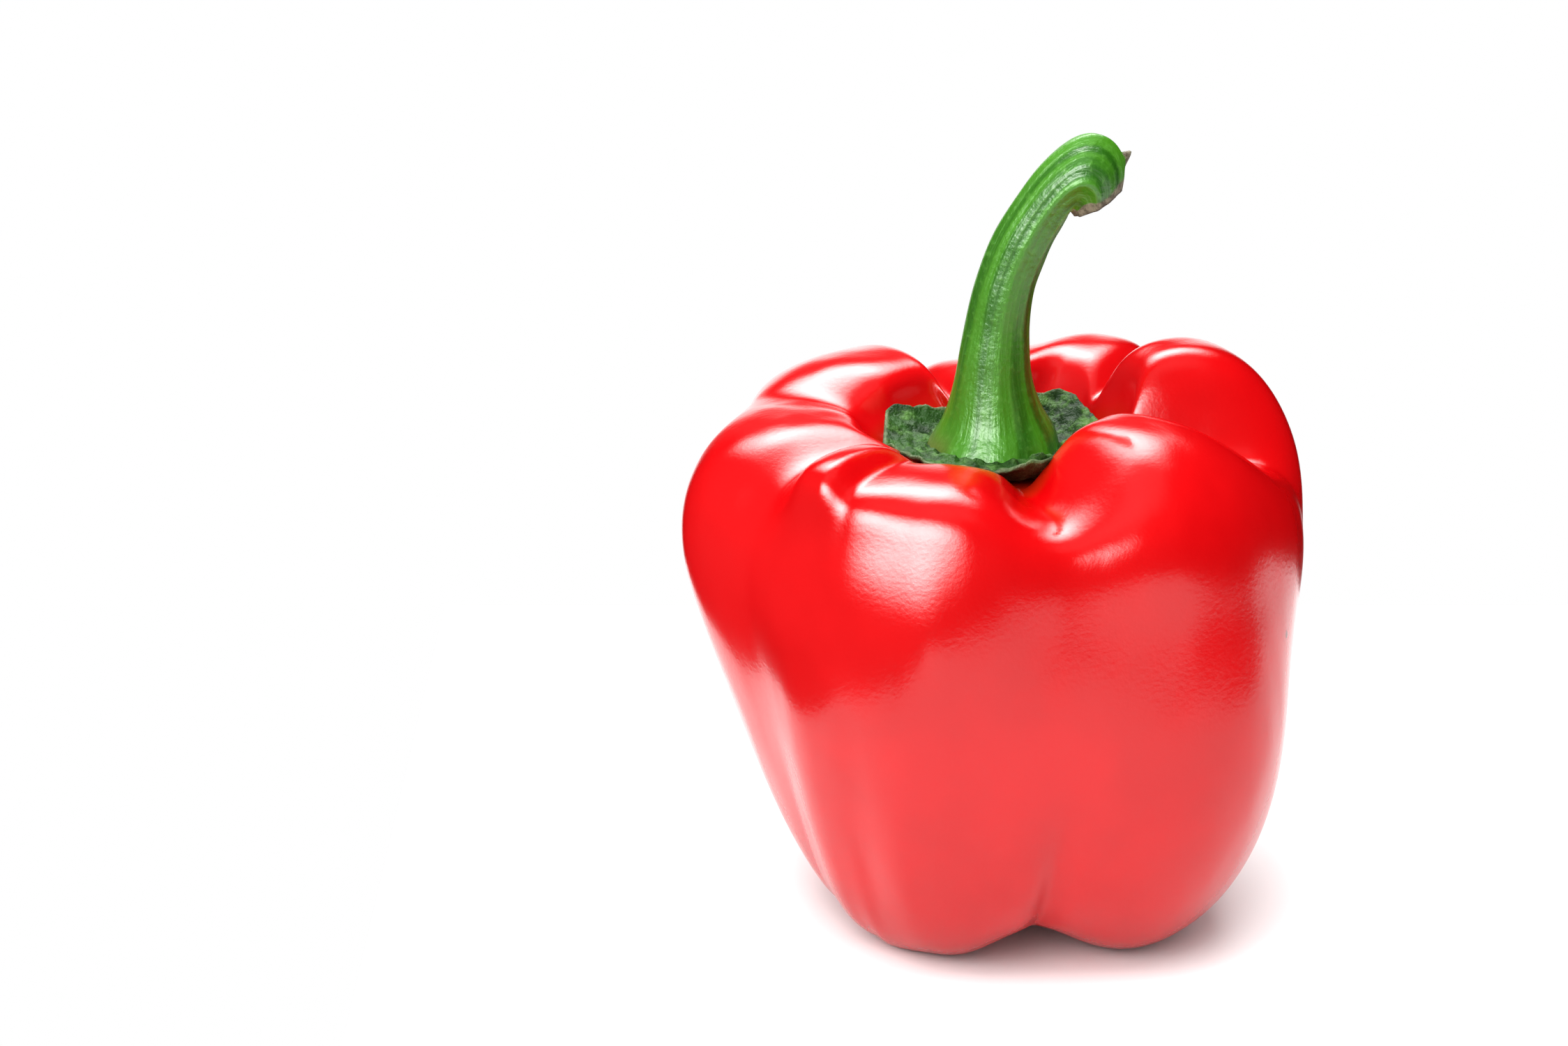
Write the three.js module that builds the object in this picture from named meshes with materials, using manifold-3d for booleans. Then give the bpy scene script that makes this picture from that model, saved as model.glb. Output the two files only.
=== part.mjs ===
// A red bell pepper standing on its lobes: the fruit, the green calyx in its crown and the stem.
// Millimetres, +Z up. The origin is on the ground under the middle of the object's box.
// The front is towards -Y. Azimuths are in degrees, counter-clockwise from +X as seen from above.

import * as THREE from "three";
import { ParametricGeometry } from "three/addons/geometries/ParametricGeometry.js";
import { mergeVertices } from "three/addons/utils/BufferGeometryUtils.js";
import Module from "manifold-3d";

// ---- driving dimensions ----

// The fruit's own axis stands here, so that the whole object's box is centred on the origin.
const FRUIT_AXIS = { x: 0.4, y: -0.7 };

// Heights above the ground at which each rib states its four radii.
const SHOULDER_Z = 67;
const BELLY_Z = 55;
const WAIST_Z = 35;
const HIP_Z = 15;

// The hollow at the top, in which the calyx sits.
const CROWN_FLOOR_Z = 67.5;
const CROWN_FLOOR_R = 10;
const CROWN_EDGE_R = 16;
const CROWN_WALL_BULGE = 1.5;

// How far the rounding of a crest and of a foot reaches to each side.
const CREST_INSIDE = 9;
const CREST_OUTSIDE = 7.5;
const FOOT_INSIDE = 5.5;
const FOOT_OUTSIDE = 8;
const FOOT_DEPTH = 1;

// The hollow underneath, at the blossom end.
const DIMPLE_Z = 7.5;
const DIMPLE_R = 7;

// Eight ridges, each in the middle of a lobe or of half a lobe, counter-clockwise from the front right.
// crest and foot are [radius, height]; radii are those at shoulder, belly, waist and hip height.
const RIDGES = [
  { name: "front right", at: -40, crest: [24.5, 78], radii: [42.5, 43, 48, 43], foot: [24.5, 0] },
  { name: "right", at: 20, crest: [30, 82], radii: [46, 44.5, 42.5, 38.5], foot: [22, -0.5] },
  { name: "back right", at: 62, crest: [32.5, 77.5], radii: [41, 42, 41, 34], foot: [21, -0.5] },
  { name: "back", at: 94, crest: [24.5, 74], radii: [41, 42, 40.5, 33], foot: [21, -0.5] },
  { name: "back left", at: 127, crest: [28, 77], radii: [47.5, 42.5, 39, 31], foot: [19, 0] },
  { name: "left", at: 186, crest: [29, 74.5], radii: [44, 46.5, 39, 32], foot: [17.5, 4] },
  { name: "front left", at: 228, crest: [32.5, 76], radii: [38.5, 42, 40.5, 34], foot: [19.5, 0] },
  { name: "front", at: 249, crest: [28, 73.5], radii: [37.5, 42, 41, 37], foot: [20, 0] },
];

// The crease that follows each ridge. Above 1, a pinch draws its top or its foot narrower.
const CREASES = [
  { at: -5, crest: [25.5, 67.5], radii: [41, 45, 41, 38.5], foot: [21.5, 0], pinch: [1.7, 1.5] },
  { at: 42, crest: [28, 73], radii: [40, 41, 39.5, 31], foot: [19, 3], pinch: [2, 1.5] },
  { at: 80, crest: [25, 76.5], radii: [41, 41.5, 40.5, 33], foot: [20, 0], pinch: [1, 1] },
  { at: 111, crest: [23.5, 71.5], radii: [39.5, 40.5, 38.5, 30], foot: [18, 3], pinch: [2.4, 1.5] },
  { at: 163, crest: [31.5, 73.5], radii: [37, 42.5, 39, 30], foot: [17, 1.5], pinch: [1.6, 1] },
  { at: 210, crest: [24, 72], radii: [37.5, 39.5, 36.5, 31], foot: [18.5, 2], pinch: [1.4, 1.6] },
  { at: 235, crest: [30, 73.5], radii: [38.5, 42.5, 40.5, 34], foot: [20, -0.5], pinch: [1, 1] },
  { at: 281, crest: [19.5, 67.5], radii: [36.5, 37, 39.5, 37.5], foot: [19.5, 5], pinch: [1.6, 1.3] },
];

// The calyx: a thin collar under the stem, whose rim rises to blunt corners between the lobes.
const CALYX_THICKNESS = 1.4;
const CALYX_FLAT_R = 9;
const TOUCHING_GAP = 0.3;
const CALYX_CORNERS = [
  { at: 10, radius: 15, height: 72 },
  { at: 51, radius: 17, height: 73 },
  { at: 102, radius: 12, height: 71 },
  { at: 154, radius: 17, height: 72 },
  { at: 194, radius: 16.5, height: 71 },
  { at: 210, radius: 15, height: 70.5 },
  { at: 235, radius: 16, height: 70.5 },
  { at: 270, radius: 15.5, height: 70.5 },
  { at: 291, radius: 15, height: 72 },
  { at: 330, radius: 13.5, height: 71 },
];

// The stem, from its flared foot to its cut end. Each ring has its centre, its half width and half depth,
// and its tilt: how far its +X side is turned down from level.
const STEM_RINGS = [
  { x: -0.8, z: 0, wide: 9.5, deep: 9.2, tilt: -4 },
  { x: -0.6, z: 2.2, wide: 8.6, deep: 8, tilt: -6 },
  { x: -0.7, z: 5.6, wide: 6.4, deep: 6.2, tilt: -4 },
  { x: -0.9, z: 11, wide: 5.1, deep: 5.2, tilt: 0 },
  { x: -0.5, z: 17, wide: 4.6, deep: 4.7, tilt: 2 },
  { x: 0.3, z: 23, wide: 4.1, deep: 4.4, tilt: 12 },
  { x: 2.3, z: 29, wide: 4, deep: 4.3, tilt: 32 },
  { x: 5.2, z: 34.3, wide: 4, deep: 4.4, tilt: 55 },
  { x: 7.9, z: 38, wide: 4.9, deep: 4.9, tilt: 80 },
  { x: 10.8, z: 40.3, wide: 6, deep: 5.4, tilt: 105 },
  { x: 13.3, z: 38.7, wide: 5.4, deep: 5.1, tilt: 130 },
  { x: 13.3, z: 35.4, wide: 3.6, deep: 4.2, tilt: 150 },
];

// Facets.
const FRUIT_FACETS = { around: 90, along: 44 };
const CALYX_FACETS = { around: 36, along: 14 };
const STEM_FACETS = { around: 24, along: 34 };

const wasm = await Module();
wasm.setup();

// ---- curves ----

// One value of a cubic B-spline whose control values are `row`; t runs from 0 to 1.
// `before` and `after` stand in for the values past its ends.
function spline(row, before, after, t) {
  const padded = [before, ...row, after];
  const place = t * (row.length - 1);
  const start = Math.min(Math.floor(place), row.length - 2);
  const f = place - start;
  const weights = [(1 - f) ** 3, 3 * f ** 3 - 6 * f ** 2 + 4, -3 * f ** 3 + 3 * f ** 2 + 3 * f + 1, f ** 3];
  return weights.reduce((sum, weight, i) => sum + (weight * padded[start + i]) / 6, 0);
}

// 0 on a ridge and 1 on a crease, level at both.
function towardsCrease(fraction, pinch) {
  return 0.5 - 0.5 * Math.cos(Math.PI * Math.min(fraction, 1) ** pinch);
}

function wrapDegrees(angle) {
  return ((angle % 360) + 360) % 360;
}

// ---- the fruit ----

// A rib's numbers in one list: crest radius and height, four radii, foot radius and height.
function ribValues(rib) {
  return [...rib.crest, ...rib.radii, ...rib.foot];
}

// The rib at any azimuth, blended between the ridge and the crease on its two sides.
function ribAt(azimuth) {
  const turn = wrapDegrees(azimuth - RIDGES[0].at);
  const after = RIDGES.findIndex((ridge, i) => i > 0 && turn < wrapDegrees(ridge.at - RIDGES[0].at));
  const last = after < 0 ? RIDGES.length - 1 : after - 1;
  const next = (last + 1) % RIDGES.length;
  const crease = CREASES[last];
  const fromLast = wrapDegrees(azimuth - RIDGES[last].at);
  const creaseFromLast = wrapDegrees(crease.at - RIDGES[last].at);
  const beforeCrease = fromLast < creaseFromLast;
  const ridge = RIDGES[beforeCrease ? last : next];
  const fraction = beforeCrease
    ? fromLast / creaseFromLast
    : wrapDegrees(RIDGES[next].at - azimuth) / wrapDegrees(RIDGES[next].at - crease.at);
  const [top, foot] = crease.pinch;
  const pinches = [top, top, top, 1, 1, foot, foot, foot];
  const high = ribValues(ridge);
  const low = ribValues(crease);
  return high.map((value, i) => value + (low[i] - value) * towardsCrease(fraction, pinches[i]));
}

// Control points of one meridian, from the middle of the crown, over the crest, to the blossom end.
function meridian(azimuth) {
  const [crestR, crestZ, shoulder, belly, waist, hip, footR, footZ] = ribAt(azimuth);
  const crestInside = Math.max(crestR - CREST_INSIDE, crestR / 2 + 3);
  return [
    [0, CROWN_FLOOR_Z],
    [CROWN_FLOOR_R, CROWN_FLOOR_Z],
    [CROWN_EDGE_R, CROWN_FLOOR_Z],
    [(CROWN_EDGE_R + crestInside) / 2 + CROWN_WALL_BULGE, (CROWN_FLOOR_Z + crestZ) / 2],
    [crestInside, crestZ],
    [crestR + CREST_OUTSIDE, crestZ],
    [shoulder, SHOULDER_Z],
    [belly, BELLY_Z],
    [waist, WAIST_Z],
    [hip, HIP_Z],
    [footR + FOOT_OUTSIDE, footZ - 0.6 * FOOT_DEPTH],
    [footR - FOOT_INSIDE, footZ - FOOT_DEPTH],
    [DIMPLE_R, DIMPLE_Z],
    [0, DIMPLE_Z],
  ];
}

// A point of the fruit's surface: u goes once round, clockwise, and v from the crown down to the blossom end.
function fruitPoint(u, v, target) {
  const azimuth = (1 - (u % 1)) * 360;
  const points = meridian(azimuth);
  const radii = points.map((point) => point[0]);
  const heights = points.map((point) => point[1]);
  const r = spline(radii, -radii[1], -radii.at(-2), v);
  const z = spline(heights, heights[1], heights.at(-2), v);
  const angle = THREE.MathUtils.degToRad(azimuth);
  target.set(r * Math.cos(angle), r * Math.sin(angle), z);
}

// ---- the calyx ----

// Radius and height of the calyx's rim, straight from corner to corner with rounded corners.
function rimAt(azimuth) {
  const next = CALYX_CORNERS.findIndex((corner) => corner.at > azimuth);
  const b = CALYX_CORNERS[Math.max(next, 0)];
  const a = CALYX_CORNERS.at(next > 0 ? next - 1 : -1);
  const fraction = wrapDegrees(azimuth - a.at) / wrapDegrees(b.at - a.at);
  const share = towardsCrease(fraction, 1);
  return [THREE.MathUtils.lerp(a.radius, b.radius, share), THREE.MathUtils.lerp(a.height, b.height, share)];
}

// u goes once round, clockwise; v from the middle of the top, out to the rim, and back underneath.
function calyxPoint(u, v, target) {
  const azimuth = (1 - (u % 1)) * 360;
  const [radius, height] = rimAt(azimuth);
  const outward = 1 - Math.abs(2 * v - 1);
  const r = radius * outward;
  const underside = CROWN_FLOOR_Z + TOUCHING_GAP;
  const slope = THREE.MathUtils.smoothstep(r, CALYX_FLAT_R, radius * 1.15);
  const fullSlope = THREE.MathUtils.smoothstep(radius, CALYX_FLAT_R, radius * 1.15);
  const lift = ((height - CALYX_THICKNESS / 2 - underside) * slope) / fullSlope;
  const onTop = v < 0.5 ? CALYX_THICKNESS : 0;
  const atRim = v === 0.5 ? CALYX_THICKNESS / 2 : onTop;
  const angle = THREE.MathUtils.degToRad(azimuth);
  target.set(r * Math.cos(angle), r * Math.sin(angle), underside + lift + atRim);
}

// ---- the stem ----

// u goes once round, counter-clockwise; v from the middle of the flat foot, up the skin and in to the middle
// of the cut.
function stemPoint(u, v, target) {
  const footShare = 1 / STEM_FACETS.along;
  const along = THREE.MathUtils.clamp((v - footShare) / (1 - 2 * footShare), 0, 1);
  const value = (key) => {
    const row = STEM_RINGS.map((ring) => ring[key]);
    return spline(row, 2 * row[0] - row[1], 2 * row.at(-1) - row.at(-2), along);
  };
  const onSkin = v > 0 && v < 1 ? 1 : 0;
  const angle = (u % 1) * 2 * Math.PI;
  const sideways = onSkin * value("wide") * Math.cos(angle);
  const forward = onSkin * value("deep") * Math.sin(angle);
  const tilt = along === 0 ? 0 : THREE.MathUtils.degToRad(value("tilt"));
  const base = CROWN_FLOOR_Z + CALYX_THICKNESS + 2 * TOUCHING_GAP;
  target.set(
    value("x") + sideways * Math.cos(tilt),
    forward,
    base + value("z") - sideways * Math.sin(tilt),
  );
}

// ---- solids ----

// The closed surface that point(u, v) sweeps; v of 0 and of 1 are each a single point.
function closedSurface(point, facets) {
  const surface = new ParametricGeometry(point, facets.around, facets.along);
  surface.deleteAttribute("normal");
  surface.deleteAttribute("uv");
  const merged = mergeVertices(surface);
  const corners = Array.from(merged.index.array);
  const kept = [];
  for (let i = 0; i < corners.length; i += 3) {
    const [a, b, c] = corners.slice(i, i + 3);
    if (a !== b && b !== c && c !== a) kept.push(a, b, c);
  }
  merged.setIndex(kept);
  return merged;
}

function toSolid(geometry) {
  return new wasm.Manifold(new wasm.Mesh({
    numProp: 3,
    vertProperties: new Float32Array(geometry.attributes.position.array),
    triVerts: new Uint32Array(geometry.index.array),
  }));
}

function fromSolid(solid) {
  const { vertProperties, triVerts } = solid.getMesh();
  const geometry = new THREE.BufferGeometry();
  geometry.setAttribute("position", new THREE.BufferAttribute(vertProperties, 3));
  geometry.setIndex(new THREE.BufferAttribute(triVerts, 1));
  geometry.computeVertexNormals();
  return geometry;
}

// The fruit with everything below the ground cut away, which leaves a small flat on each foot.
function fruitGeometry() {
  const ground = new THREE.BoxGeometry(120, 120, 20).translate(0, 0, -10);
  ground.deleteAttribute("normal");
  ground.deleteAttribute("uv");
  return fromSolid(toSolid(closedSurface(fruitPoint, FRUIT_FACETS)).subtract(toSolid(mergeVertices(ground))));
}

function piece(name, geometry, material) {
  const mesh = new THREE.Mesh(geometry, new THREE.MeshStandardMaterial(material));
  mesh.name = name;
  mesh.position.set(FRUIT_AXIS.x, FRUIT_AXIS.y, 0);
  return mesh;
}

const pepper = new THREE.Group();
pepper.add(
  piece("fruit", fruitGeometry(), { color: 0xe3000f, roughness: 0.22, metalness: 0 }),
  piece("calyx", closedSurface(calyxPoint, CALYX_FACETS), { color: 0x3f6e46, roughness: 0.6, metalness: 0 }),
  piece("stem", closedSurface(stemPoint, STEM_FACETS), { color: 0x4f9a2c, roughness: 0.45, metalness: 0 }),
);

export default pepper;
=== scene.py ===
"""A red bell pepper standing on a pale table: glossy lobed skin, wrinkled calyx, ribbed stem."""

from functools import lru_cache
from math import acos, atan2, cos, exp, pi, radians, sin

import bmesh
import bpy
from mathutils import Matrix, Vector, noise


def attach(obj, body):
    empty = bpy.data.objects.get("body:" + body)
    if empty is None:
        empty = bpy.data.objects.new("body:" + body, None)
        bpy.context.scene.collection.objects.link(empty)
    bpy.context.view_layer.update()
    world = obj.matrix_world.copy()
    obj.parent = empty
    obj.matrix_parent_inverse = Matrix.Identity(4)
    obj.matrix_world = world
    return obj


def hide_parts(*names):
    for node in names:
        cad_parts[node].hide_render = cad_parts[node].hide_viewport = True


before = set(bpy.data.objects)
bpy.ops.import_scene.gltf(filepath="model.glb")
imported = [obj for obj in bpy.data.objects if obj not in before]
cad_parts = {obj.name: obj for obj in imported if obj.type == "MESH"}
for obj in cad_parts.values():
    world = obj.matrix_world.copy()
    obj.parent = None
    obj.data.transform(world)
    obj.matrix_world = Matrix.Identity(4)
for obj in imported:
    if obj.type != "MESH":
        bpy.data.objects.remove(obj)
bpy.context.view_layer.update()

MM = 0.001

# ---------------------------------------------------------------- sizes, in millimetres

# The fruit's own axis stands here in the frame. Azimuths run counter-clockwise from +X.
AXIS_X, AXIS_Y = 0.4, -0.7

SHOULDER_Z, BELLY_Z, WAIST_Z, HIP_Z = 67, 55, 35, 15
CROWN_FLOOR_Z, CROWN_FLOOR_R, CROWN_EDGE_R, CROWN_WALL_BULGE = 67.5, 10, 16, 1.5
CREST_INSIDE, CREST_OUTSIDE = 9, 7.5
DIMPLE_Z, DIMPLE_R = 7.5, 7
FOOT_INSIDE, FOOT_OUTSIDE, FOOT_DEPTH = 5.5, 8, 1

# Each rib: azimuth, crest radius and height, radii at shoulder, belly, waist and hip,
# foot radius and height.
RIDGES = [
    (-40, 24.5, 78, 42.5, 43, 48, 43, 24.5, 0),        # front right lobe
    (20, 30, 82, 46, 44.5, 42.5, 38.5, 22, -0.5),      # right lobe
    (62, 32.5, 77.5, 41, 42, 41, 34, 21, -0.5),        # back right lobe
    (94, 24.5, 74, 41, 42, 40.5, 33, 21, -0.5),        # back lobe
    (127, 28, 77, 47.5, 42.5, 39, 31, 19, 0),          # back left lobe
    (186, 29, 74.5, 44, 46.5, 39, 32, 17.5, 4),        # left lobe
    (228, 32.5, 76, 38.5, 42, 40.5, 34, 19.5, 0),      # front left half lobe
    (249, 28, 73.5, 37.5, 42, 41, 37, 20, 0),          # front half lobe
]
# The crease after each ridge, with how much its top and its foot are pinched narrow.
CREASES = [
    ((-5, 25.5, 68, 42, 45, 41, 38.5, 21.5, 0), 1.7, 1.5),
    ((42, 28, 73, 40, 41, 39.5, 31, 19, 3), 2, 1.5),
    ((80, 25, 76.5, 41, 41.5, 40.5, 33, 20, 0), 1, 1),
    ((111, 23.5, 71.5, 39.5, 40.5, 38.5, 30, 18, 3), 2.4, 1.5),
    ((163, 31.5, 73.5, 37, 42.5, 39, 30, 17, 1.5), 1.6, 1),
    ((210, 24, 72, 38.5, 41.5, 38, 31.5, 18.5, 2), 1.4, 1.2),
    ((235, 30, 73.5, 38.5, 42.5, 40.5, 34, 20, -0.5), 1, 1),
    ((281, 19.5, 67.5, 36.5, 37, 39.5, 37.5, 19.5, 5), 1.6, 1.3),
]
# The skin's outside starts at this share of the way from crown to blossom end.
OUTSIDE_SHARE = 0.4
# The fine grooves along the bottoms of three creases: azimuth, depth, half width in degrees,
# lowest and highest z.
GROOVES = [
    (281.5, 2, 4, 3, 34),
    (42, 0.6, 3, 4, 60),
    (111, 0.6, 3, 4, 60),
]

# The calyx's corners: azimuth, radius, height, and the radius up to which it lies flat.
CALYX_CORNERS = [
    (10, 15, 72, 9),
    (51, 17.5, 73.5, 9),
    (102, 11.5, 71.5, 8.5),
    (154, 17.5, 72.5, 9),
    (200, 17.6, 71.3, 9),
    (235, 16, 70.5, 9),
    (270, 16.5, 70.7, 11),
    (291, 17, 72.7, 12.5),
    (330, 14, 71.2, 10),
]
CALYX_THICKNESS = 1.4
TOUCHING_GAP = 0.3
# The calyx is smooth under the stem and fully crumpled from the outer of these radii on.
CRUMPLE_STARTS_R, CRUMPLE_FULL_R = 7.5, 11
# Its thickness at the rim, as a share of that in the middle.
RIM_THICKNESS_SHARE = 0.45
# The collar that the calyx raises round the front of the stem's foot, and the azimuths over
# which it comes up.
COLLAR_R, COLLAR_WIDTH, COLLAR_HEIGHT = 10.8, 1.6, 1.1
COLLAR_STARTS, COLLAR_FULL = 190, 235

# The stem's rings: centre x and z above its foot, half width, half depth, how far +X is turned down.
STEM_RINGS = [
    (-1, 0, 10, 9.4, -4),
    (-0.6, 2.2, 8.6, 8, -6),
    (-0.7, 5.6, 6.4, 6.2, -4),
    (-0.9, 11, 5.1, 5.2, 0),
    (-0.5, 17, 4.6, 4.7, 2),
    (0.3, 23, 4.1, 4.4, 12),
    (2.3, 29, 4, 4.3, 32),
    (5.2, 34.3, 4, 4.4, 55),
    (7.9, 38, 4.9, 4.9, 80),
    (10.8, 40.3, 6, 5.4, 105),
    (13.3, 38.7, 5.4, 5.1, 130),
    (13.3, 35.4, 3.6, 4.2, 150),
]
STEM_FOOT_Z = CROWN_FLOOR_Z + CALYX_THICKNESS + 2 * TOUCHING_GAP
# Shares of the way from the middle of the cut: the cut's rim, a dry flap on the skin, the foot's rim.
CUT_SHARE, FLAP_SHARE, FOOT_SHARE = 0.1, 0.16, 0.97
FLAP_LENGTH = 1.9
# How deep the torn cut is hollow, and how far the foot's rim reaches down.
CUT_DEPTH, FOOT_REACH = 1.6, 0.8

# ---------------------------------------------------------------- stage sizes, in metres

# The table is small, so that the skin mirrors it only where it should.
TABLE_LEFT, TABLE_RIGHT, TABLE_FRONT, TABLE_BACK = -0.09, 0.3, -0.4, 0.12
LIGHT_DISTANCE, LIGHT_AIM_Z = 0.9, 0.06
CAMERA_PLACE, CAMERA_DOWN = (-0.0300, -0.5314, 0.2423), 19.2
# The fill's strength, and how much of it moves from the right side to the left.
FILL, FILL_FROM_LEFT = 1.2, 0.75

# ---------------------------------------------------------------- curves


def spline(row, before, after, t):
    """A cubic B-spline's value; t runs from 0 to 1 over the control values in row."""
    padded = [before, *row, after]
    place = t * (len(row) - 1)
    start = min(int(place), len(row) - 2)
    f = place - start
    weights = ((1 - f) ** 3, 3 * f**3 - 6 * f**2 + 4, -3 * f**3 + 3 * f**2 + 3 * f + 1, f**3)
    return sum(w * padded[start + i] for i, w in enumerate(weights)) / 6


def towards_crease(fraction, pinch):
    """0 on a ridge and 1 on a crease, level at both."""
    return 0.5 - 0.5 * cos(pi * min(max(fraction, 0), 1) ** pinch)


def smoothstep(low, high, x):
    f = min(max((x - low) / (high - low), 0), 1)
    return f * f * (3 - 2 * f)


def mix(a, b, f):
    return a + (b - a) * f


def bump(x, middle, width):
    """A soft bump of height 1 around the middle."""
    return exp(-(((x - middle) / width) ** 2))


def folds(x, y, z, size):
    """Crumpled folds of about this size, from 0 in a fold's bottom to about 1."""
    return abs(noise.noise(Vector((x, y, z)) / size)) * 2


# ---------------------------------------------------------------- fruit


@lru_cache(maxsize=None)
def meridian(azimuth):
    """Control radii and heights of the fruit's outline at one azimuth, from crown to blossom end."""
    start = RIDGES[0][0]
    turn = (azimuth - start) % 360
    last = max(i for i, ridge in enumerate(RIDGES) if (ridge[0] - start) % 360 <= turn)
    following = (last + 1) % len(RIDGES)
    crease, top, foot = CREASES[last]
    from_last = (azimuth - RIDGES[last][0]) % 360
    to_crease = (crease[0] - RIDGES[last][0]) % 360
    if from_last < to_crease:
        ridge, fraction = RIDGES[last], from_last / to_crease
    else:
        ridge = RIDGES[following]
        fraction = ((ridge[0] - azimuth) % 360) / ((ridge[0] - crease[0]) % 360)
    pinches = (top, top, top, 1, 1, foot, foot, foot)
    crest_r, crest_z, shoulder, belly, waist, hip, foot_r, foot_z = (
        mix(high, low, towards_crease(fraction, pinch))
        for high, low, pinch in zip(ridge[1:], crease[1:], pinches)
    )
    crest_inside = max(crest_r - CREST_INSIDE, crest_r / 2 + 3)
    radii = (0, CROWN_FLOOR_R, CROWN_EDGE_R, (CROWN_EDGE_R + crest_inside) / 2 + CROWN_WALL_BULGE,
             crest_inside, crest_r + CREST_OUTSIDE, shoulder, belly, waist, hip,
             foot_r + FOOT_OUTSIDE, foot_r - FOOT_INSIDE, DIMPLE_R, 0)
    heights = (CROWN_FLOOR_Z, CROWN_FLOOR_Z, CROWN_FLOOR_Z, (CROWN_FLOOR_Z + crest_z) / 2,
               crest_z, crest_z, SHOULDER_Z, BELLY_Z, WAIST_Z, HIP_Z,
               foot_z - 0.6 * FOOT_DEPTH, foot_z - FOOT_DEPTH, DIMPLE_Z, DIMPLE_Z)
    return radii, heights


def on_fruit(azimuth, share):
    """A point of the skin, in millimetres from the fruit's axis; share runs from crown to blossom end."""
    radii, heights = meridian(round(azimuth % 360, 4))
    r = spline(radii, -radii[1], -radii[-2], share)
    z = spline(heights, heights[1], heights[-2], share)
    if share > OUTSIDE_SHARE:
        for at, depth, width, low, high in GROOVES:
            across = (azimuth - at + 180) % 360 - 180
            fading = smoothstep(low, low + 6, z) * (1 - smoothstep(low + 8, high, z))
            r -= depth * bump(across, 0, width) * fading
    return Vector((r * cos(radians(azimuth)), r * sin(radians(azimuth)), max(z, 0)))


# ---------------------------------------------------------------- calyx


@lru_cache(maxsize=None)
def rim(azimuth):
    """Radius, height and flat radius of the calyx at one azimuth, on straight edges between its corners."""
    after = next((i for i, corner in enumerate(CALYX_CORNERS) if corner[0] > azimuth % 360), 0)
    at_a, *a = CALYX_CORNERS[after - 1]
    at_b, *b = CALYX_CORNERS[after]
    from_a, span = radians((azimuth - at_a) % 360), radians((at_b - at_a) % 360)
    radius = a[0] * b[0] * sin(span) / (a[0] * sin(from_a) + b[0] * sin(span - from_a))
    return radius, mix(a[1], b[1], from_a / span), mix(a[2], b[2], from_a / span)


def on_calyx(azimuth, share):
    """A point of the calyx; share runs from the middle of the top out to the rim and back underneath."""
    radius, height, flat = (sum(rim(azimuth + step)[i] for step in (-3, 0, 3)) / 3 for i in range(3))
    outward = 1 - abs(2 * share - 1)
    r = radius * outward
    x, y = r * cos(radians(azimuth)), r * sin(radians(azimuth))
    underside = CROWN_FLOOR_Z + TOUCHING_GAP
    slope = smoothstep(flat, radius * 1.15, r) / smoothstep(flat, radius * 1.15, radius)
    thick = CALYX_THICKNESS * mix(1, RIM_THICKNESS_SHARE, smoothstep(0.7, 1, outward))
    crumple = 1.2 * folds(x, y, 3, 3.4) + 0.45 * folds(x, y, 9, 1.5) - 0.25
    crumple *= smoothstep(CRUMPLE_STARTS_R, CRUMPLE_FULL_R, r)
    collar = COLLAR_HEIGHT * bump(r, COLLAR_R, COLLAR_WIDTH) * (0.4 + folds(x, y, 5, 2.2))
    collar *= smoothstep(COLLAR_STARTS, COLLAR_FULL, azimuth % 360)
    z = underside + (height - thick - underside) * slope + max(crumple, 0) * mix(1, 0.5, outward)
    if share < 0.5:
        z += thick + collar
    elif share == 0.5:
        z += thick / 2
    return Vector((x, y, z))


# ---------------------------------------------------------------- stem


@lru_cache(maxsize=None)
def ring(along):
    """Centre x and z, half width, half depth and tilt of the stem's ring at a share of its length."""
    return [spline(row, 2 * row[0] - row[1], 2 * row[-1] - row[-2], along) for row in zip(*STEM_RINGS)]


def on_stem(azimuth, share):
    """A point of the stem; share runs from the middle of the cut, down the skin, to the foot's middle."""
    skin = min(max((share - CUT_SHARE) / (FOOT_SHARE - CUT_SHARE), 0), 1)
    along = 1 - skin
    x, z, wide, deep, tilt = ring(round(along, 6))
    turn = radians(azimuth)
    spread = min(share / CUT_SHARE, (1 - share) / (1 - FOOT_SHARE), 1)
    upper = smoothstep(0.15, 0.95, along)
    ribs = 0.3 * cos(5 * turn + 1.9) + 0.22 * cos(9 * turn + 0.6) + 0.14 * cos(14 * turn + 2.4)
    swell = 1 + (0.1 + 0.55 * upper) * ribs / 5 + 0.25 * noise.noise(Vector((x, deep * sin(turn), z)) / 6) / 5
    flap = FLAP_LENGTH * bump(azimuth % 360, 180, 9) * bump(share, FLAP_SHARE, 0.013)
    sideways = (spread * wide * swell + flap) * cos(turn)
    forward = spread * deep * swell * sin(turn)
    sunk = 0
    if share < CUT_SHARE:
        sunk = CUT_DEPTH * smoothstep(0, 0.45, 1 - spread)
        sunk += 0.5 * folds(sideways, forward, 2, 1.6) * (1 - spread)
    slant = radians(tilt) if along > 0 else 0
    return Vector((
        x + sideways * cos(slant) - sunk * sin(slant),
        forward,
        STEM_FOOT_Z - FOOT_REACH * bump(along, 0, 0.05) + z - sideways * sin(slant) - sunk * cos(slant),
    ))


# ---------------------------------------------------------------- pieces


def placed(point):
    """From millimetres about the fruit's axis to metres in the frame."""
    return Vector((point.x + AXIS_X, point.y + AXIS_Y, point.z)) * MM


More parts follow.
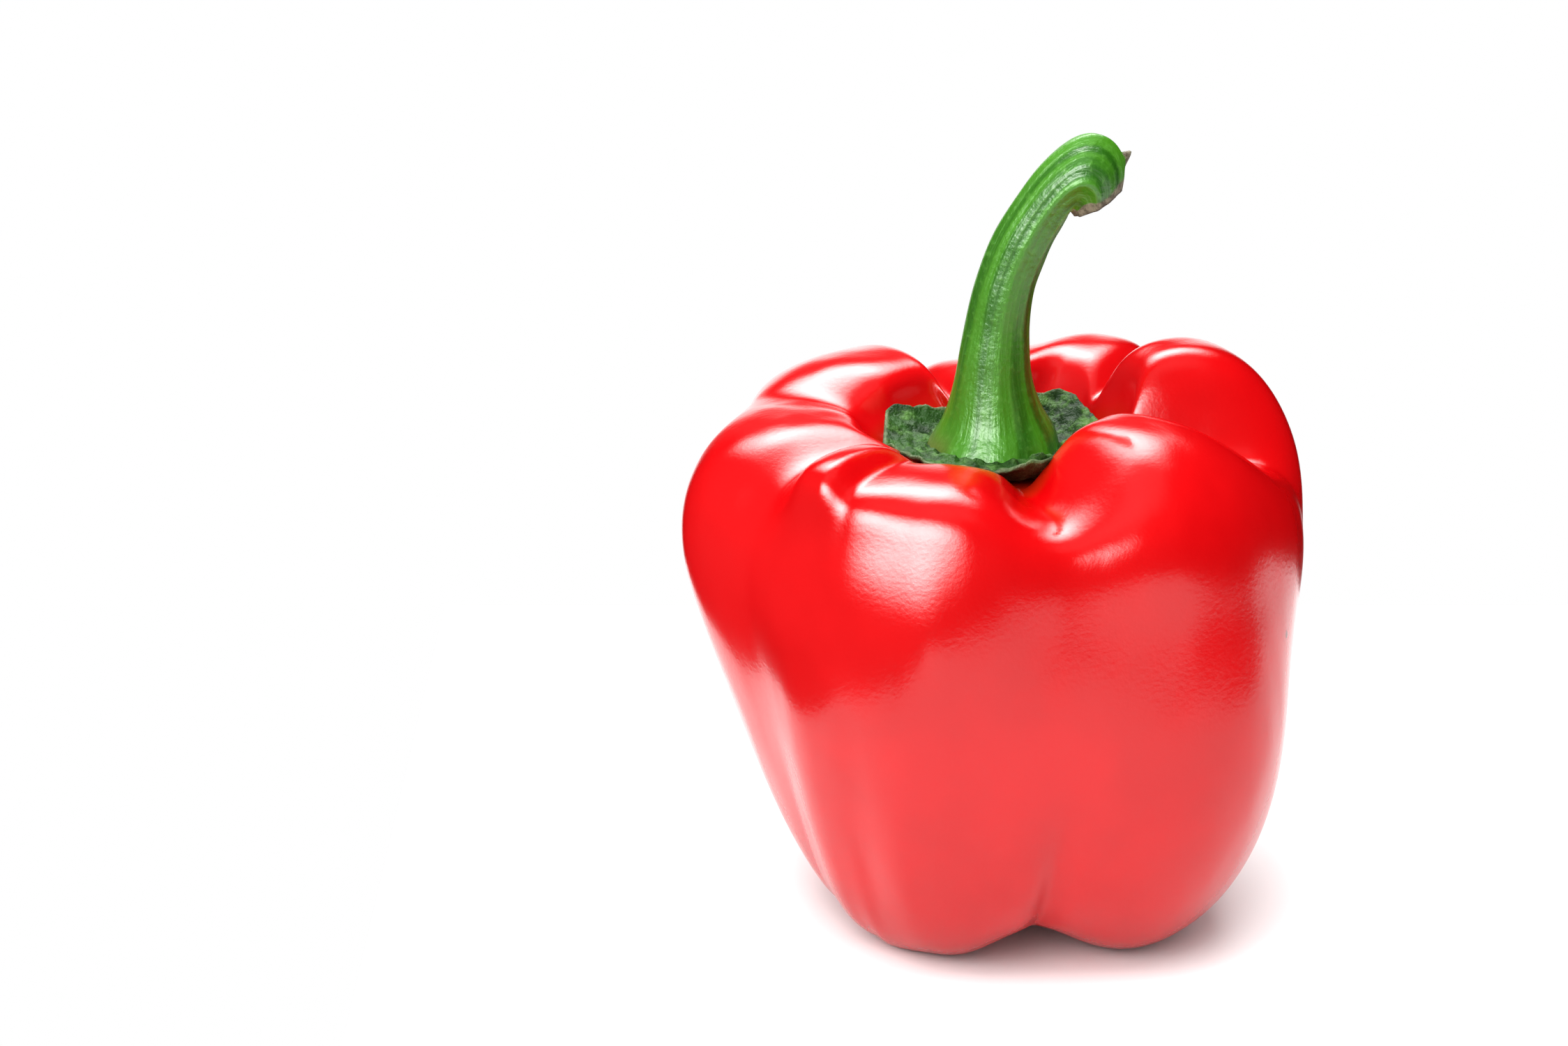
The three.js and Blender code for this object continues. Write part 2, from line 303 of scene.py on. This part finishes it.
def wrapped_piece(name, around, along, shape, node, paint):
    """A closed piece: a ball whose azimuth and share of the way down go through shape().

    The attribute "wrap" keeps each point's cosine and sine round the piece and its share of the way.
    """
    mesh = bmesh.new()
    bmesh.ops.create_uvsphere(mesh, u_segments=around, v_segments=along, radius=1)
    wrap = mesh.verts.layers.float_vector.new("wrap")
    for vert in mesh.verts:
        azimuth = round(atan2(vert.co.y, vert.co.x) * 180 / pi, 5)
        share = round(acos(min(max(vert.co.z, -1), 1)) / pi * along) / along
        vert[wrap] = Vector((cos(radians(azimuth)), sin(radians(azimuth)), share))
        vert.co = placed(shape(azimuth, share))
    piece = add_piece(name, mesh, paint)
    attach(piece, "root")
    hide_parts(node)
    return piece


def add_piece(name, mesh, paint):
    for face in mesh.faces:
        face.smooth = True
    data = bpy.data.meshes.new(name)
    mesh.to_mesh(data)
    mesh.free()
    data.materials.append(paint.material)
    piece = bpy.data.objects.new(name, data)
    bpy.context.scene.collection.objects.link(piece)
    return piece


# ---------------------------------------------------------------- shader writing


class Wire:
    """A node's output. Sums written with wires and numbers add the Math nodes they need."""

    def __init__(self, paint, socket):
        self.paint, self.socket = paint, socket

    def math(self, operation, *others):
        return self.paint.maths(operation, self, *others)

    def __add__(self, other):
        return self.math("ADD", other)

    __radd__ = __add__

    def __mul__(self, other):
        return self.math("MULTIPLY", other)

    __rmul__ = __mul__

    def __sub__(self, other):
        return self.math("SUBTRACT", other)

    def __rsub__(self, other):
        return self.paint.maths("SUBTRACT", other, self)

    def __truediv__(self, other):
        return self.math("DIVIDE", other)

    def __rtruediv__(self, other):
        return self.paint.maths("DIVIDE", other, self)

    def __pow__(self, other):
        return self.math("POWER", other)

    def __rpow__(self, other):
        return self.paint.maths("POWER", other, self)

    def rising(self, low, high):
        """0 below low and 1 above high, smooth between."""
        return self.paint.node("MapRange", {"interpolation_type": "SMOOTHSTEP"},
                               {"Value": self, "From Min": low, "From Max": high})


class Paint:
    """A material, or the world, whose nodes are being laid out."""

    def __init__(self, block):
        block.use_nodes = True
        self.material, self.tree = block, block.node_tree

    @property
    def shader(self):
        return self.tree.nodes["Principled BSDF"]

    def node(self, kind, settings, inputs, output=0):
        made = self.tree.nodes.new("ShaderNode" + kind)
        for key, value in settings.items():
            setattr(made, key, value)
        self.feed(made, inputs)
        return Wire(self, made.outputs[output])

    def feed(self, made, inputs):
        for key, value in inputs.items():
            socket = made.inputs[key]
            if isinstance(value, Wire):
                self.tree.links.new(value.socket, socket)
            else:
                socket.default_value = (*value, 1) if socket.type == "RGBA" else value

    def maths(self, operation, *values):
        return self.node("Math", {"operation": operation}, dict(enumerate(values)))

    def blend(self, factor, a, b):
        """Colour a, or colour b where the factor is 1."""
        return self.node("Mix", {"data_type": "RGBA"}, {0: factor, 6: a, 7: b}, 2)

    def grain(self, where, scale, detail=3.0, roughness=0.55):
        return self.node("TexNoise", {}, {"Vector": where, "Scale": scale, "Detail": detail,
                                          "Roughness": roughness})

    def here(self):
        """The point's place in the frame, in metres."""
        return self.node("TexCoord", {}, {}, "Object")

    def wrap(self):
        return self.node("Attribute", {"attribute_name": "wrap"}, {}, "Vector")

    def parts(self, vector):
        return [self.node("SeparateXYZ", {}, {"Vector": vector}, i) for i in range(3)]

    def stretched(self, vector, scale):
        return self.node("Mapping", {}, {"Vector": vector, "Scale": scale})

    def distance(self, vector, point):
        return self.node("VectorMath", {"operation": "DISTANCE"}, {0: vector, 1: point}, "Value")

    def dents(self, height, distance, strength=1.0, below=None):
        inputs = {"Height": height, "Distance": distance, "Strength": strength}
        if below:
            inputs["Normal"] = below
        return self.node("Bump", {}, inputs)


# ---------------------------------------------------------------- materials


def skin_paint():
    """Waxy red skin: fine pores, faint mottling, a dark speck, an orange tint next to the calyx."""
    paint = Paint(bpy.data.materials.new("skin"))
    here = paint.here()
    x, y, z = paint.parts(here)
    from_axis = ((x - AXIS_X * MM) ** 2 + (y - AXIS_Y * MM) ** 2) ** 0.5
    mottle = paint.grain(here, 45)
    red = paint.blend(mottle.rising(0.35, 0.65), (0.39, 0.0002, 0.001), (0.44, 0.0003, 0.0014))
    near_calyx = (1 - (from_axis + (mottle - 0.5) * 0.004).rising(0.0165, 0.0195)) * z.rising(0.05, 0.06)
    colour = paint.blend(near_calyx * 0.25, red, (0.16, 0.03, 0.002))
    speck = 1 - paint.distance(here, (0.04, -0.0206, 0.048)).rising(0.0003, 0.0008)
    colour = paint.blend(speck * 0.8, colour, (0.08, 0.002, 0.003))
    pores = paint.grain(here, 1500, 2)
    waves = paint.grain(paint.stretched(here, (1, 1, 0.35)), 110, 1)
    paint.feed(paint.shader, {
        "Base Color": colour,
        "Roughness": 0.15 + mottle * 0.08,
        "IOR": 1.43,
        "Normal": paint.dents(pores, 0.0001, 0.22, paint.dents(waves, 0.0014, 0.35)),
    })
    return paint


def calyx_paint():
    """Green, paler on raised vein lines and near-black in the hollows between them as painted shade; here and
    there a paler rim; brown underneath, painted darker as shade.
    """
    paint = Paint(bpy.data.materials.new("calyx"))
    here = paint.here()
    share = paint.parts(paint.wrap())[2]
    veins_and_hollow_shade = paint.grain(here, 330, 4, 0.65)
    blotches = paint.grain(here, 130)
    # Painted shade: near-black green where the vein relief is low, paler green on the raised vein lines.
    green = paint.blend(veins_and_hollow_shade.rising(0.45, 0.68), (0.003, 0.015, 0.001), (0.05, 0.12, 0.022))
    green = paint.blend(blotches.rising(0.4, 0.65) * 0.6, green, (0.014, 0.06, 0.004))
    # A paler band along the top of the rim, here and there.
    edge = share.rising(0.475, 0.497)
    green = paint.blend(edge * blotches.rising(0.4, 0.6) * 0.8, green, (0.12, 0.15, 0.08))
    # The underside is brown, painted dark as painted shade beneath the calyx.
    colour = paint.blend(share.rising(0.505, 0.53), green, (0.03, 0.018, 0.004))
    paint.feed(paint.shader, {
        "Base Color": colour,
        "Roughness": 0.6,
        "Specular IOR Level": 0.2,
        "Normal": paint.dents(veins_and_hollow_shade, 0.0014, 0.9),
    })
    return paint


def stem_paint():
    """Fresh green with lengthwise bands and fine pimples; dry brown at the cut and on the flap."""
    paint = Paint(bpy.data.materials.new("stem"))
    here = paint.here()
    wrap = paint.wrap()
    around, _, share = paint.parts(wrap)
    bands = paint.grain(paint.stretched(wrap, (1, 1, 0.5)), 2.4, 1)
    streaks = paint.grain(paint.stretched(wrap, (1, 1, 0.6)), 7, 3, 0.5)
    pimples = paint.grain(here, 1100, 2)
    green = paint.blend(bands.rising(0.4, 0.6), (0.011, 0.072, 0.001), (0.032, 0.145, 0.003))
    green = paint.blend(streaks.rising(0.5, 0.75) * 0.3, green, (0.09, 0.24, 0.04))
    green = paint.blend(pimples.rising(0.5, 0.75) * 0.3, green, (0.08, 0.24, 0.03))
    crumbs = paint.grain(here, 900, 4, 0.7).rising(0.35, 0.65)
    cork = paint.blend(crumbs, (0.04, 0.03, 0.015), (0.16, 0.14, 0.09))
    torn = share + (paint.grain(here, 500) - 0.5) * 0.03 - around.rising(-0.2, 0.7) * 0.035
    flap = (around * -1).rising(0.97, 0.985) * share.rising(0.142, 0.15) * (1 - share.rising(0.172, 0.18))
    dry = (1 - torn.rising(0.12, 0.132)).math("MAXIMUM", flap)
    flared = share.rising(0.84, 0.95) * (around * -1).rising(0.6, 0.95)
    green = paint.blend(flared * 0.7, green, (0.1, 0.075, 0.02))
    colour = paint.blend(dry, green, cork)
    dark_rim = (1 - share.rising(0.1, 0.108)) * share.rising(0.085, 0.095)
    colour = paint.blend(dark_rim * 0.8, colour, (0.015, 0.009, 0.004))
    paint.feed(paint.shader, {
        "Base Color": colour,
        "Roughness": 0.38 + dry * 0.32,
        "Normal": paint.dents(pimples, 0.0003, 0.4, paint.dents(streaks, 0.0015, 0.15)),
    })
    return paint


def floor_paint():
    paint = Paint(bpy.data.materials.new("table"))
    paint.feed(paint.shader, {"Base Color": (0.8, 0.8, 0.8), "Roughness": 0.9, "Specular IOR Level": 0.0})
    return paint


# ---------------------------------------------------------------- stage


def make_floor():
    mesh = bmesh.new()
    bmesh.ops.create_grid(mesh, x_segments=1, y_segments=1, size=1)
    for vert in mesh.verts:
        vert.co.x = TABLE_RIGHT if vert.co.x > 0 else TABLE_LEFT
        vert.co.y = TABLE_BACK if vert.co.y > 0 else TABLE_FRONT
    add_piece("table", mesh, floor_paint())


def heading(azimuth, elevation):
    """The direction with this azimuth and elevation."""
    flat = cos(radians(elevation))
    return Vector((flat * cos(radians(azimuth)), flat * sin(radians(azimuth)), sin(radians(elevation))))


def soft_box(name, azimuth, elevation, size, radiance):
    """A rectangular light aimed at the pepper, left out of reflections; radiance is its brightness."""
    data = bpy.data.lights.new(name, "AREA")
    data.shape = "RECTANGLE"
    data.size, data.size_y = size
    data.energy = radiance * pi * size[0] * size[1]
    box = bpy.data.objects.new(name, data)
    towards = heading(azimuth, elevation)
    box.location = towards * LIGHT_DISTANCE + Vector((0, 0, LIGHT_AIM_Z))
    box.rotation_euler = towards.to_track_quat("Z", "Y").to_euler()
    box.visible_camera = False
    box.visible_glossy = False
    bpy.context.scene.collection.objects.link(box)


def panel_glow(paint, direction, azimuth, elevation, width, height, radiance):
    """A soft-edged panel, seen in reflections; width and height are tangents of its half angles."""
    ahead = heading(azimuth, elevation)
    side = heading(azimuth + 90, 0)
    facing, across, up = (
        paint.node("VectorMath", {"operation": "DOT_PRODUCT"}, {0: direction, 1: axis}, "Value")
        for axis in (ahead, side, ahead.cross(side))
    )
    glow = facing.rising(0.1, 0.2) * radiance
    for off, half in ((across, width), (up, height)):
        glow = glow * (1 - (off / facing).math("ABSOLUTE").rising(0, 1.5 * half))
    return glow


def make_world():
    """White to the camera, a soft fill, stronger from the left; two panels and a pale back in reflections."""
    world = bpy.data.worlds.new("studio")
    bpy.context.scene.world = world
    paint = Paint(world)
    direction = paint.node("TexCoord", {}, {}, "Generated")
    x, y, z = paint.parts(direction)
    behind = y.rising(0.7, 0.8) * (1 - x.math("ABSOLUTE").rising(0.12, 0.3)) * (1 - z.rising(0.05, 0.3))
    mirrored = (
        behind * 1.8
        + panel_glow(paint, direction, -121, 25, 0.46, 0.28, 36)
        + panel_glow(paint, direction, 100, 57, 0.45, 0.36, 24)
    )
    rays = {name: paint.node("LightPath", {}, {}, name) for name in ("Is Camera Ray", "Is Glossy Ray")}
    fill = FILL - x * FILL_FROM_LEFT
    glow = fill + rays["Is Glossy Ray"] * (mirrored - fill)
    paint.feed(paint.tree.nodes["Background"], {
        "Color": (1, 1, 1),
        "Strength": glow + rays["Is Camera Ray"] * (1 - glow),
    })


def make_camera():
    data = bpy.data.cameras.new("camera")
    data.lens, data.sensor_width = 90, 36
    data.clip_start, data.clip_end = 0.05, 20
    camera = bpy.data.objects.new("camera", data)
    camera.location = CAMERA_PLACE
    camera.rotation_euler = (radians(90 - CAMERA_DOWN), 0, 0)
    bpy.context.scene.collection.objects.link(camera)
    bpy.context.scene.camera = camera


wrapped_piece("fruit_skin", 440, 180, on_fruit, "fruit", skin_paint())
wrapped_piece("calyx_leaf", 240, 120, on_calyx, "calyx", calyx_paint())
wrapped_piece("stem_stalk", 120, 200, on_stem, "stem", stem_paint())

make_floor()
soft_box("front", -120, 45, (0.7, 0.6), 4)
soft_box("overhead", -90, 85, (0.8, 0.8), 6)
make_world()
make_camera()
bpy.context.scene.view_settings.view_transform = "Standard"
